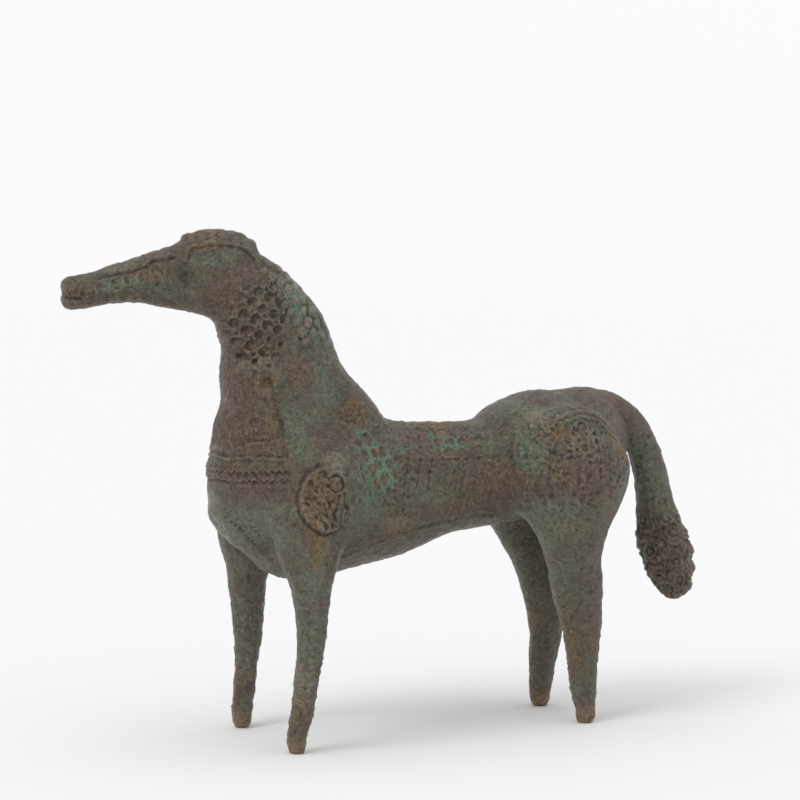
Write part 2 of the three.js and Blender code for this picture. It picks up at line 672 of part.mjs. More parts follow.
const thinned = thin(skin(horse, LOW, HIGH, CELL), TRIANGLES);
const rough = new THREE.BufferGeometry();
rough.setAttribute("position", new THREE.Float32BufferAttribute(thinned.points, 3));
rough.setIndex(thinned.triangles);

// The ground takes off the four toes, so that each foot ends in a small flat.
const GROUND_DEPTH = 20;
const ground = new THREE.BoxGeometry(2 * HEIGHT, HEIGHT, GROUND_DEPTH).translate(0, 0, -GROUND_DEPTH / 2);
const geometry = geometryOf(solidOf(rough).subtract(solidOf(ground)));
geometry.computeBoundingBox();
const middle = geometry.boundingBox.getCenter(new THREE.Vector3());
geometry.translate(-middle.x, -middle.y, 0);

const bronze = new THREE.MeshStandardMaterial({ color: 0x5a5147, roughness: 0.55, metalness: 0.8 });
const body = new THREE.Mesh(geometry, bronze);
body.name = "horse";

const group = new THREE.Group();
group.add(body);
export default group;
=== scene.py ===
import math

import bpy
import numpy as np
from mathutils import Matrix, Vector, kdtree


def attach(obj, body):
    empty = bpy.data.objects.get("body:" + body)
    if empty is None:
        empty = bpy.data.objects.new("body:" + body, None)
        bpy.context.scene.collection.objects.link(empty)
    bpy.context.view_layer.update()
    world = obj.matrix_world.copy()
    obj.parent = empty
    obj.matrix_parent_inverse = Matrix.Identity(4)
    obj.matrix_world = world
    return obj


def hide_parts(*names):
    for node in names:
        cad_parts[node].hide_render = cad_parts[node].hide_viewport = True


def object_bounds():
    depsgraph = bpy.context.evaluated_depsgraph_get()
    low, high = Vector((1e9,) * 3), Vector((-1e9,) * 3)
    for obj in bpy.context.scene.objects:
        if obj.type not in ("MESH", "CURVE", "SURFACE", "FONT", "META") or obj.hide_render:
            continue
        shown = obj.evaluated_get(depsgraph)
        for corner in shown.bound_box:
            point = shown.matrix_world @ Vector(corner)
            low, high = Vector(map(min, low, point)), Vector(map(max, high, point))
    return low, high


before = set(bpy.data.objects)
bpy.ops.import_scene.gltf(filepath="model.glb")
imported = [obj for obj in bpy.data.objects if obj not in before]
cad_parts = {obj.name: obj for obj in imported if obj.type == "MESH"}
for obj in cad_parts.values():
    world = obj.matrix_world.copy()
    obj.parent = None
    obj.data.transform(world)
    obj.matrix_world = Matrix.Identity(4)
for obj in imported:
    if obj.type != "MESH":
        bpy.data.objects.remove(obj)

# A standing horse cast in patinated bronze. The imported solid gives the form; this script refines its skin,
# adds the fine relief as mesh, and gives it the colours of old bronze. Lengths in the relief are in millimetres.

CAD_LOW, CAD_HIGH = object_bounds()
MM = 0.001
NODE = "horse"
PIECE = "bronze_horse"

VOXEL = 0.75  # grid of the refined skin
TRIANGLES = 190000  # left after thinning


# Helpers for fields of numbers


def bump(distance, reach):
    """1 at distance 0, falling softly to 0 at the given reach."""
    rest = np.clip(1 - (distance / reach) ** 2, 0, 1)
    return rest * rest


def ramp(value, start, end):
    """0 before start, 1 after end, soft in between."""
    share = np.clip((value - start) / (end - start), 0, 1)
    return share * share * (3 - 2 * share)


def hashed(*cells, seed=0):
    """A steady pseudo-random number from 0 to 1 for each whole-number cell."""
    total = np.full(np.shape(cells[0]), seed * 0x9E3779B1 + 12345, np.uint64)
    for cell, prime in zip(cells, (73856093, 19349663, 83492791)):
        total ^= (cell.astype(np.int64).astype(np.uint64) * np.uint64(prime)) & np.uint64(0xFFFFFFFF)
        total = (total * np.uint64(2654435761)) & np.uint64(0xFFFFFFFF)
        total ^= total >> np.uint64(15)
    return (total & np.uint64(0xFFFFFF)).astype(float) / 0xFFFFFF


def grain(x, y, z, size, seed=0):
    """Soft lumps of about the given size, from -1 to 1."""
    cells, shares = [], []
    for value in (x, y, z):
        low = np.floor(value / size)
        share = value / size - low
        cells.append(low)
        shares.append(share * share * (3 - 2 * share))
    total = 0
    for i in (0, 1):
        for j in (0, 1):
            for k in (0, 1):
                corner = hashed(cells[0] + i, cells[1] + j, cells[2] + k, seed=seed)
                weight = 1
                for step, share in zip((i, j, k), shares):
                    weight = weight * (share if step else 1 - share)
                total = total + corner * weight
    return total * 2 - 1


def cells(u, v, jitter, seed=0):
    """Distance to the nearest and the second nearest scattered centre of a unit grid."""
    first = np.full(u.shape, 9.0)
    second = np.full(u.shape, 9.0)
    for i in (-1, 0, 1):
        for j in (-1, 0, 1):
            a, b = np.floor(u) + i, np.floor(v) + j
            du = a + 0.5 + jitter * (hashed(a, b, seed=seed) - 0.5) - u
            dv = b + 0.5 + jitter * (hashed(a, b, seed=seed + 1) - 0.5) - v
            away = np.hypot(du, dv)
            second = np.minimum(second, np.maximum(first, away))
            first = np.minimum(first, away)
    return first, second


def specks(x, y, z, size, share, seed=0):
    """Scattered round burrs: 1 in the middle of each. The share says how many grid cells carry one."""
    total = np.zeros(x.shape)
    low = [np.floor(value / size) for value in (x, y, z)]
    for i in (-1, 0, 1):
        for j in (-1, 0, 1):
            for k in (-1, 0, 1):
                cell = [low[0] + i, low[1] + j, low[2] + k]
                away = 0
                for axis, value in enumerate((x, y, z)):
                    middle = cell[axis] + 0.2 + 0.6 * hashed(*cell, seed=seed + axis)
                    away = away + (value / size - middle) ** 2
                there = hashed(*cell, seed=seed + 7) < share
                total = np.maximum(total, there * bump(np.sqrt(away), 0.2 + 0.3 * hashed(*cell, seed=seed + 9)))
    return total


def turned(x, z, centre, degrees):
    """x and z measured from a centre, along axes turned by an angle."""
    cosine, sine = math.cos(math.radians(degrees)), math.sin(math.radians(degrees))
    dx, dz = x - centre[0], z - centre[1]
    return dx * cosine + dz * sine, dz * cosine - dx * sine


def oval(x, z, centre, along, high, degrees=0):
    """0 in the centre of an upright oval and 1 on its outline."""
    u, v = turned(x, z, centre, degrees)
    return np.hypot(u / along, v / high)


def smooth_line(points, steps=5):
    """A smooth line through a few points."""
    points = np.array(points, float)
    padded = np.vstack([2 * points[0] - points[1], points, 2 * points[-1] - points[-2]])
    line = []
    for i in range(len(points) - 1):
        a, b, c, d = padded[i : i + 4]
        for t in np.linspace(0, 1, steps, endpoint=False):
            line.append(0.5 * (2 * b + (c - a) * t + (2 * a - 5 * b + 4 * c - d) * t**2 + (3 * b - a - 3 * c + d) * t**3))
    line.append(points[-1])
    return np.array(line)


def arc(centre, radius, start, end, end_radius=None):
    """Points along an arc, or along a spiral where the end radius differs. Angles are in degrees."""
    steps = 9
    radii = np.linspace(radius, radius if end_radius is None else end_radius, steps)
    angles = np.radians(np.linspace(start, end, steps))
    return np.stack([centre[0] + radii * np.cos(angles), centre[1] + radii * np.sin(angles)], 1)


def line_place(x, z, line):
    """Distance to a line, how far along it the nearest place is, and on which side the point lies."""
    least = np.full(x.shape, 1e9)
    along = np.zeros(x.shape)
    side = np.zeros(x.shape)
    gone = 0.0
    for a, b in zip(line[:-1], line[1:]):
        ux, uz = b - a
        length = math.hypot(ux, uz)
        share = np.clip(((x - a[0]) * ux + (z - a[1]) * uz) / length**2, 0, 1)
        away = np.hypot(x - a[0] - share * ux, z - a[1] - share * uz)
        closer = away < least
        least = np.where(closer, away, least)
        along = np.where(closer, gone + share * length, along)
        side = np.where(closer, np.sign(ux * (z - a[1]) - uz * (x - a[0])), side)
        gone += length
    return least, along, side


# The skin


class Skin:
    """The refined skin as arrays: points in millimetres, and the edges between points."""

    def __init__(self, mesh):
        count = len(mesh.vertices)
        flat = np.zeros(count * 3)
        mesh.vertices.foreach_get("co", flat)
        self.points = flat.reshape(-1, 3) / MM
        ends = np.zeros(len(mesh.edges) * 2, np.int32)
        mesh.edges.foreach_get("vertices", ends)
        self.ends = ends.reshape(-1, 2)
        self.neighbours = np.bincount(self.ends.ravel(), minlength=count).astype(float)

    def average(self, values):
        """The mean of each point's neighbours."""
        a, b = self.ends.T
        size = len(self.neighbours)
        flat = values.reshape(size, -1)
        sums = [np.bincount(a, column[b], size) + np.bincount(b, column[a], size) for column in flat.T]
        return (np.stack(sums, 1) / self.neighbours[:, None]).reshape(values.shape)

    def blurred(self, values, rounds):
        for _ in range(rounds):
            values = 0.5 * values + 0.5 * self.average(values)
        return values

    def calm(self, rounds, share):
        """Smooths facets and coarse carving out, more or less from place to place."""
        for _ in range(rounds):
            self.points += 0.5 * share[:, None] * (self.average(self.points) - self.points)


def refined_mesh(source):
    """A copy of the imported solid's mesh with an even fine grid."""
    piece = bpy.data.objects.new(PIECE, source.data.copy())
    bpy.context.scene.collection.objects.link(piece)
    weld = piece.modifiers.new("weld", "WELD")
    weld.merge_threshold = 0.001 * MM
    remesh = piece.modifiers.new("remesh", "REMESH")
    remesh.mode = "VOXEL"
    remesh.voxel_size = VOXEL * MM
    apply_modifiers(piece)
    return piece


def apply_modifiers(piece):
    graph = bpy.context.evaluated_depsgraph_get()
    done = bpy.data.meshes.new_from_object(piece.evaluated_get(graph))
    piece.modifiers.clear()
    piece.data = done


def set_points(mesh, points):
    mesh.vertices.foreach_set("co", (points * MM).astype(np.float32).ravel())
    mesh.update()


def normals_of(mesh):
    flat = np.zeros(len(mesh.vertices) * 3, np.float32)
    mesh.vertex_normals.foreach_get("vector", flat)
    return flat.reshape(-1, 3).astype(float)


# Relief, region by region


class Patch:
    """The points of one region, and what its relief gives them: height, round stamps and seats between them."""

    def __init__(self, points):
        x, y, z = points.T
        self.x = x + 0.8 * grain(x, y, z, 7, 301) + 0.4 * grain(x, y, z, 2.6, 305)
        self.z = z + 0.8 * grain(x, y, z, 7, 303) + 0.4 * grain(x, y, z, 2.6, 307)
        self.y = y
        self.side = np.abs(y)
        self.height = np.zeros(len(points))
        self.disc = np.zeros(len(points))
        self.seat = np.zeros(len(points))

    def grain(self, size, seed):
        return grain(self.x, self.y, self.z, size, seed)

    def specks(self, size, share, seed):
        return specks(self.x, self.y, self.z, size, share, seed)

    def oval(self, centre, along, high, degrees=0):
        return oval(self.x, self.z, centre, along, high, degrees)

    def on_flank(self, start, end):
        return ramp(self.side, start, end)

    def line(self, points):
        return line_place(self.x, self.z, smooth_line(points))

    def stroke(self, points, reach):
        return bump(self.line(points)[0], reach)

    def stamp(self, u, v, field, floor, rim, seat, lean=0.0, jitter=0.10, seed=0):
        """Round stamps on a unit grid: a scooped floor, a raised rim, which a lean makes higher on one side,
        and a hollow seat where four stamps meet."""
        a, b = np.round(u), np.round(v)
        du = u - a + jitter * (hashed(a, b, seed=seed) - 0.5)
        dv = v - b + jitter * (hashed(a, b, seed=seed + 1) - 0.5)
        lot = hashed(a, b, seed=seed + 2)
        away = np.hypot(du, dv)
        inside = 1 - ramp(away, 0.36, 0.46)
        scoop = np.sqrt(np.clip(1 - (away / 0.45) ** 2, 0, 1))
        corner = bump(np.hypot(u - np.floor(u) - 0.5, v - np.floor(v) - 0.5), 0.30)
        side = 1 + lean * du
        self.height += field * side * (rim * bump(away - 0.48, 0.12) - floor * (0.55 + 0.7 * lot) * scoop)
        self.height -= field * seat * corner
        self.disc = np.maximum(self.disc, field * inside * (0.35 + 0.65 * lot))
        self.seat = np.maximum(self.seat, field * (1 - inside) * (0.5 + 0.5 * corner))


STAMP = 8.2  # pitch of the round stamps


def muzzle_relief(p):
    ridge = [(-218.4, 296), (-213, 299), (-205.8, 301.7), (-194.5, 303.6), (-186, 305), (-173.4, 308), (-165.7, 311.6), (-154, 313.4)]
    away, along, above = p.line(ridge)
    over = np.where(above > 0, 1, -1) * away
    p.height += 0.55 * bump(over - 1.3, 1.8) - 0.75 * bump(over + 0.9, 1.1) * ramp(along, 10, 20)
    for x, z in ((-212.1, 293.3), (-201.6, 295.4), (-192.4, 297.4), (-183.8, 300.4), (-174.4, 302.4), (-165.4, 304.3)):
        away = np.hypot(p.x - x, p.z - z)
        p.height += 0.3 * bump(away - 4.0, 0.9) - 0.6 * (1 - ramp(away, 2.6, 3.6))
        p.disc = np.maximum(p.disc, 1 - ramp(away, 2.8, 3.6))
        p.seat = np.maximum(p.seat, bump(away - 4.2, 1.2) * 0.8)
    p.height -= 1.2 * p.stroke([(-228, 291), (-222, 290.6), (-215, 288.6)], 1.3)
    p.height -= 1.1 * bump(np.hypot(p.x + 206.9, p.z - 293), 1.0)
    p.height += 0.6 * bump(p.oval((-220, 295.4), 5.5, 3.8), 1)
    p.height += 0.5 * bump(p.oval((-219, 285), 7, 3.6), 1)
    u, v = turned(p.x, p.z, (-165, 298), 62)
    cheek = bump(p.oval((-163, 297.5), 17, 7.5), 1) ** 0.5
    p.height += 0.5 * cheek * bump(np.abs(((v / 2.6) % 1) - 0.5), 0.4) * ramp(p.grain(3.5, 3), -0.1, 0.4)
    strip = bump(p.oval((-182, 313), 42, 8, 15), 1) ** 0.5
    p.height += 0.45 * strip * (0.5 - np.abs(p.grain(3.2, 4)))
    p.height *= p.on_flank(1.5, 4.5)


def eye_relief(p):
    p.height -= 1.2 * bump(p.oval((-147.5, 301.5), 6.5, 10, 8), 1) * p.on_flank(5, 9)
    p.height += 0.5 * bump(p.oval((-147, 300), 2.6, 3.4), 1) * p.on_flank(5, 9)
    p.height += 0.7 * p.grain(3.4, 7) * bump(p.oval((-147, 309), 11, 9), 1)


def cap_relief(p):
    hem = [(-147, 312), (-143.5, 318.5), (-136, 320), (-122, 321), (-110, 318.5), (-101, 311.5)]
    away, along, above = p.line(hem)
    over = np.where(above > 0, 1, -1) * away
    p.height += (0.7 * bump(over - 1.2, 1.8) - 0.5 * bump(over + 0.6, 1.0)) * p.on_flank(4, 9)
    on_top = ramp(p.z, 317, 322) * ramp(p.x, -147, -142) * (1 - ramp(p.x, -103, -97))
    locks = np.sin(p.x * 2 * math.pi / 7.5 + 0.05 * p.side**1.5 + 2.6 * p.grain(8, 5))
    p.height += on_top * (0.32 * locks + 0.55 * (0.45 - np.abs(p.grain(3.0, 6))))
    p.height += 0.9 * bump(np.hypot(p.x + 142, p.z - 326), 4.5)
    p.height += 0.8 * bump(np.hypot(p.x + 103.5, p.z - 317.5), 4)
    below = bump(p.oval((-128, 312), 22, 9), 1)
    p.height += 0.55 * below * (0.45 - np.abs(p.grain(2.8, 8)))


def neck_scales(p):
    """Round stamps in slanting rows, deeper on the muzzle's side, on a grid of two slanting steps."""
    along, down = (7.06, -3.68), (-4.44, -6.75)
    dx, dz = p.x + 108.94, p.z - 295.0
    scale = along[0] * down[1] - along[1] * down[0]
    u = (dx * down[1] - dz * down[0]) / scale
    v = (dz * along[0] - dx * along[1]) / scale
    field = 1 - ramp(p.oval((-102.5, 271), 20, 31, -12), 0.72, 1.08)
    p.stamp(u, v, field * p.on_flank(4, 10), 1.0, 0.9, 0.1, lean=-1.5, seed=11)
    crust = bump(p.oval((-99, 246), 19, 12, -20), 1) ** 0.5
    p.height += crust * p.on_flank(6, 12) * (1.5 * (0.4 - np.abs(p.grain(3.6, 12))) + 0.6 * p.grain(2.2, 13))


CREST = [(-101, 314), (-91, 309), (-78, 299), (-67, 284), (-59, 266), (-53, 246), (-50, 232)]


def crest_scales(p):
    away, along, above = p.line(CREST)
    deep = np.where(above > 0, -1, 1) * away
    v = (deep - 6.5) / 7.4
    u = along / STAMP + 0.5 * (np.round(v) % 2)
    field = (1 - ramp(np.abs(deep - 6), 10, 14)) * ramp(along, 3, 9) * (1 - ramp(along, 62, 84))
    p.stamp(u, v, field * p.on_flank(0.5, 4), -0.85, -0.35, 0.4, jitter=0.25, seed=21)


def throat_relief(p):
    within = bump(p.oval((-97, 224), 20, 28), 1) ** 0.5
    lumps = 0.9 * (0.42 - np.abs(p.grain(5.5, 31))) + 0.25 * p.grain(2.6, 32)
    p.height += within * lumps
    for points in ([(-108, 225.5), (-98, 226), (-90, 225)], [(-107, 218.5), (-98, 219), (-89, 217)]):
        away, along, above = p.line(points)
        p.height += 0.5 * bump(away, 1.1) * (0.6 + 0.4 * np.cos(along * 2 * math.pi / 2.4))
    p.height -= 1.3 * bump(p.oval((-98.5, 234), 6.5, 5.5), 1)
    p.height -= 0.8 * p.stroke([(-95, 238), (-94, 226), (-92, 212), (-92, 200), (-93, 190)], 3.0)
    p.height *= p.on_flank(12, 19)


def breast_relief(p):
    front = 1 - ramp(p.x, -94, -91)
    around = np.arctan2(p.y, -(p.x + 60)) * 60
    turn = np.abs(around)
    level = 187.0 - 1.6 * bump(turn - 17, 14)
    p.height += 0.55 * bump(p.z - level, 1.0) - 0.5 * bump(p.z - level - 1.8, 1.1) - 0.3 * bump(p.z - level + 1.6, 1.0)
    fold = level + 1.5 + 0.17 * np.maximum(turn - 14, 0)
    p.height += 0.4 * bump(p.z - fold - 3.4, 2.2) - 0.5 * bump(p.z - fold - 5.6, 1.0) * ramp(turn, 16, 22)
    for row, (middle, lean) in enumerate(((178.0, 0.05), (172.4, 0.05))):
        up = p.z - middle - lean * turn
        tooth = 2 * np.abs(((around / 4.4 + 0.4 * row) % 1) - 0.5)
        zigzag = up - 1.9 * (tooth - 0.5) * ramp(turn, 2, 9)
        p.height += 0.75 * bump(zigzag, 1.15) - 0.55 * bump(zigzag + 1.9, 1.3)
    p.height += 0.22 * np.sin(around * 2 * math.pi / 2.3 + 1.6 * p.grain(8, 41)) * ramp(p.z, 191, 196) * (1 - ramp(p.z, 208, 220))
    first, second = cells(around / 2.8, p.z / 2.8, 0.5, 43)
    p.height -= 0.4 * (1 - ramp(second - first, 0.02, 0.3)) * bump(p.oval((-108, 167), 16, 6), 1)
    p.height += 0.25 * (0.42 - np.abs(p.grain(4.5, 44)))
    p.height *= front * (1 - ramp(p.z, 216, 226)) * ramp(p.z, 140, 150)


def chest_underside(p):
    ridge = [(-133, 161), (-124, 148), (-113, 136), (-101, 126), (-88, 112), (-80, 107)]
    away, along, above = p.line(ridge)
    over = np.where(above > 0, 1, -1) * away
    p.height += 0.5 * bump(over, 1.8)
    stitches = bump(over - 2.2, 1.2) * bump(((along / 3.1) % 1) - 0.5, 0.32)
    p.height -= 0.9 * stitches * ramp(along, 14, 20) * (1 - ramp(along, 40, 48))
    u, v = turned(p.x, p.z, (-110, 130), -46)
    crumple = 0.7 * (0.4 - np.abs(grain(u, p.y, v * 2.4, 6, 51))) + 0.3 * p.grain(2.6, 52)
    strip = bump(over + 4.5, 6.5) ** 0.5 * ramp(along, 24, 34)
    p.height += crumple * strip
    p.height *= (1 - ramp(p.side, 30, 40)) * (1 - ramp(p.z, 158, 166)) * (1 - ramp(p.x, -76, -68)) * ramp(p.z, 99, 103)


def medallion_relief(p):
    centre = (-71.2, 163)
    share = oval(p.x - (p.z - centre[1]) * 0.12, p.z, centre, 18.4, 20.6)
    disc = 1 - ramp(share, 0.96, 1.03)
    edge = ramp(-p.x - p.z * 0.5, -30, 0)
    p.height += disc * 0.7 - (0.3 + 0.7 * edge) * bump(share - 1.07, 0.07) + 0.9 * edge * bump(share - 0.93, 0.06)
    curls = [
        (1.7, arc((-79, 168.5), 9.6, 30, 300, 3.0)),
        (1.3, arc((-78.5, 167.5), 3.4, 150, 420, 1.0)),
        (1.5, [(-67.5, 146), (-64.8, 155), (-61.6, 163.5), (-57.4, 158), (-54.8, 150)]),
        (1.1, [(-63.4, 147), (-61.8, 152), (-60.4, 156)]),
        (1.5, [(-73.8, 144), (-71.4, 152), (-68.2, 159)]),
        (1.6, [(-86.5, 158), (-83, 151), (-77, 145.6)]),
        (1.2, [(-80, 157.5), (-76, 151), (-74.5, 147)]),
        (1.3, [(-75.5, 162), (-72.6, 157), (-71, 152)]),
        (1.2, [(-58.6, 166), (-56, 159), (-55, 153)]),
    ]
    broken = 0.65 + 0.7 * p.grain(4.5, 65)
    for reach, curl in curls:
        away = p.line(curl)[0]
        p.height += disc * broken * (1.15 * bump(away, reach) - 0.55 * bump(away - reach - 0.9, 1.2))
    p.height += disc * (1.1 * (0.4 - np.abs(p.grain(3.4, 61))) + 0.45 * p.grain(1.8, 66))
    p.height -= 1.0 * disc * bump(np.hypot(p.x + 80.5, p.z - 164), 2.0)
    boss = np.hypot(p.x + 65.5, p.z - 171.6)
    p.height += 0.9 * bump(boss, 4.2) - 0.85 * bump(boss - 5.0, 1.1) + 0.5 * bump(boss - 6.6, 0.9) * disc
    p.height -= 0.5 * bump(boss, 1.2)
    pearl = p.oval((-61.5, 181), 7.4, 5.6, -12)
    p.height += (1 - disc) * (0.9 * bump(pearl, 1.0) - 0.35 * bump(pearl - 1.15, 0.2))
    rings = p.oval((-64, 178), 13.5, 13, -10)
    beyond = ramp(rings, 0.95, 1.1) * (1 - ramp(rings, 1.8, 2.1)) * ramp(p.x + 0.8 * p.z, 84, 94) * (1 - disc)
    p.height += 0.28 * np.sin((rings - 1) * 2 * math.pi / 0.16 + p.grain(7, 62)) * beyond
    p.height *= p.on_flank(26, 34)


def withers_relief(p):
    under = [(-47, 206), (-39, 201.5), (-30, 200), (-22, 203)]
    p.height += 0.5 * p.stroke(under, 1.8) * p.on_flank(8, 14)
    field = p.oval((-41.5, 213.5), 9.5, 8, -30)
    u, v = turned(p.x, p.z, (-41.5, 213.5), -52)
    lines = bump(((v / 2.3) % 1) - 0.5, 0.4) * ramp(p.grain(4, 63), -0.5, 0.1)
    p.height += (0.6 * lines * (1 - ramp(field, 0.6, 0.85)) + 0.35 * bump(field - 0.98, 0.10)) * p.on_flank(10, 16)
    p.height += 0.25 * bump(field - 1.22, 0.09) * p.on_flank(10, 16)
    brushed = bump(p.oval((-44, 224), 10, 24, 25), 1)
    p.height += 0.2 * np.sin(v * 2 * math.pi / 1.9 + 2 * p.grain(6, 64)) * brushed
    p.height += 0.5 * p.stroke([(-58, 247), (-54, 238), (-49, 229)], 1.5) * p.on_flank(2, 8)


def shoulder_stamps(p):
    """Uneven stamps behind the shoulder disc, with deep seats between them."""
    u, v = turned(p.x, p.z, (-26, 178), 14)
    field = bump(p.oval((-24, 177), 30, 36, 12), 1) ** 0.4 * p.on_flank(15, 22) * ramp(p.x, -53, -46)
    u = u / 7.9 + 0.2 * p.grain(14, 71)
    v = v / 8.6 + 0.2 * p.grain(14, 72)
    p.stamp(u, v, field, 0.55, 0.4, 0.5, jitter=0.3, seed=73)
    p.height += field * (0.9 * (0.4 - np.abs(p.grain(3.2, 74))) + 0.3 * p.grain(1.9, 75))


def flank_stamps(p):
    """Rows of round stamps over the barrel and the back, with furrows between some of the columns."""
    around = np.arctan2(p.side, p.z - 160) * 40
    u = (p.x - 32.2 + 0.29 * (around - 19.5)) / 8.7
    v = (around - 19.5) / 8.6
    field = ramp(p.x, -18, -8) * (1 - ramp(p.x, 58, 68)) * (1 - ramp(around, 50, 58)) * ramp(p.z, 160, 166)
    fade = 0.35 + 0.65 * bump(p.oval((26, 188), 36, 20), 1) ** 0.5
    p.stamp(u, v, field * fade, 0.55, 0.5, 0.3, seed=81)
    furrows = bump(np.abs(u - np.floor(u) - 0.5), 0.09) * (hashed(np.floor(u), seed=84) > 0.35)
    reach = ramp(p.z, 152, 162) * (1 - ramp(around, 60, 70))
    p.height -= 0.55 * furrows * reach * ramp(p.x, -16, -8) * (1 - ramp(p.x, 44, 54))
    levels = bump(np.abs(v - 1.5), 0.07) + bump(np.abs(v - 2.5), 0.07) + bump(np.abs(v + 0.5), 0.07)
    p.height -= 0.4 * levels * field
    weave = np.sin(p.x * 2 * math.pi / 2.6) * np.sin(p.z * 2 * math.pi / 2.6)
    p.height += 0.12 * weave * bump(p.oval((70, 192), 8, 18), 1)


def belly_relief(p):
    hem = [(-52, 119), (-30, 126), (-14, 131), (4, 134), (24, 137), (45, 139), (60, 139)]
    away, along, above = p.line(hem)
    over = np.where(above > 0, 1, -1) * away
    p.height += 0.6 * bump(over, 1.4) * (0.7 + 0.5 * p.grain(8, 91)) - 0.4 * bump(over - 2.2, 1.2)
    p.height += 0.35 * bump(over - 5, 1.2) * ramp(p.grain(9, 92), -0.2, 0.5)
    seeds = bump(p.oval((-14, 143), 14, 8, 12), 1) ** 0.5
    first, second = cells(p.x / 2.9, p.z / 2.7, 0.9, 93)
    p.height += 0.6 * bump(first, 0.45) * seeds * ramp(p.grain(5, 94), -0.3, 0.2)
    p.height *= p.on_flank(9, 16)


def haunch_relief(p):
    share = p.oval((109.8, 175), 41.5, 37)
    upper = ramp(p.z, 160, 180)
    p.height += upper * (0.55 * bump(share - 0.97, 0.03) + 0.35 * bump(share - 0.90, 0.025) - 0.5 * bump(share - 1.02, 0.03))
    inner = 1 - ramp(share, 0.9, 1.0)
    leaf = [(88, 205), (82.5, 199), (84.5, 190), (88, 186), (94, 194), (89.5, 198), (88, 205)]
    p.height += 0.95 * p.stroke(leaf, 1.3)
    arcs = [
        arc((100, 199), 5.5, -40, 200),
        arc((104, 191), 6, 10, 260),
        arc((113, 197.5), 4.6, -20, 200),
        arc((113, 197), 2.4, -20, 200),
        arc((112, 186), 3.4, 0, 330),
        arc((122.5, 189), 3.4, -60, 240),
        arc((130, 189), 3.4, -60, 240),
        [(98, 205), (112, 208), (126, 206), (138, 199)],
        [(100, 201), (114, 204.5), (127, 202), (136, 194)],
        [(86, 184), (92, 180), (100, 182)],
        [(84, 178), (90, 173), (97, 172)],
    ]
    for curl in arcs:
        p.height += inner * (0.6 * p.stroke(curl, 1.2) - 0.3 * bump(p.line(curl)[0] - 1.9, 0.9))
    rear = bump(p.oval((122, 176), 27, 30), 1) ** 0.5 * inner
    u, v = turned(p.x, p.z, (122, 176), -6)
    u, v = u / 8.6 + 0.2 * p.grain(9, 103), v / 7.2 + 0.2 * p.grain(9, 104)
    furrows = np.maximum(bump(np.abs(u - np.round(u)), 0.12), bump(np.abs(v - np.round(v)), 0.12))
    p.height -= 0.5 * furrows * rear * ramp(p.grain(11, 105), -0.5, 0.1)
    p.height += inner * (0.9 * (0.4 - np.abs(p.grain(3.4, 101))) + 0.25 * p.grain(1.9, 102))
    front = bump(p.oval((84, 178), 12, 16), 1) * (0.45 - np.abs(p.grain(2.6, 106)))
    p.height += 0.7 * front
    p.height *= p.on_flank(26, 36) * (1 - ramp(share, 1.10, 1.16))


def club_relief(p):
    """Nested hanging locks on the club of the tail, and lengthways hair on its stem."""
    middle = np.interp(p.z, [72, 90, 110, 132], [209, 206, 200, 193])
    around = np.arctan2(p.y, p.x - middle)
    club = (1 - ramp(p.z, 130, 134)) * ramp(p.z, 66, 72)
    u = around * 9.6 / 10.0 + 0.12 * p.grain(8, 111)
    v = p.z / 15.5 + 0.12 * p.grain(8, 112) + 0.5 * (np.floor(around * 9.6 / 10.0) % 2)
    first, second = cells(u, v, 0.5, 113)
    locks = np.sin(first * 2 * math.pi / 0.22 + p.grain(6, 114))
    p.height += club * (0.5 * locks * bump(first, 0.9) - 0.8 * (1 - ramp(second - first, 0.03, 0.2)))
    p.height += club * 0.5 * (0.4 - np.abs(p.grain(3.0, 115)))
    stem = (1 - club) * ramp(p.x, 156, 164)
    hair = np.abs(grain(p.x, p.y, p.z * 0.35, 2.6, 116))
    p.height += stem * 0.75 * (0.4 - hair)


def leg_relief(p):
    on_leg = (1 - ramp(p.z, 96, 118)) * (1 - ramp(p.x, 150, 156))
    p.height += on_leg * (0.22 * p.grain(5, 121) + 0.30 * (0.42 - np.abs(p.grain(3.0, 122))))
    p.height += on_leg * ramp(p.z, 5, 12) * (0.6 * p.specks(5.2, 0.30, 123) - 0.35 * p.specks(3.6, 0.35, 133))
    near_fore = (p.x < 0) & (p.y < 0)
    u, v = p.x / 7.4, p.z / 8.0 + 0.2 * p.grain(10, 141)
    marks = ramp(p.z, 22, 30) * (1 - ramp(p.z, 60, 72)) * near_fore * on_leg
    p.stamp(u + 0.2, v, marks, 0.2, 0.3, 0.1, jitter=0.3, seed=142)
    p.seat *= 0


def cast_skin(p):
    """The hand-made wax under everything: low lumps, creases, small burrs and pits."""
    calm = 1 - 0.6 * bump(p.oval((-116, 158), 24, 14), 1) - 0.5 * bump(p.oval((-55, 225), 12, 22), 1)
    p.height += 0.45 * p.grain(13, 151) + 0.30 * p.grain(6, 153)
    p.height += calm * (0.70 * (0.42 - np.abs(p.grain(4.2, 155))) + 0.45 * (0.42 - np.abs(p.grain(2.2, 156))))
    p.height += calm * (0.40 * p.specks(5.0, 0.25, 157) - 0.55 * p.specks(4.2, 0.25, 171))


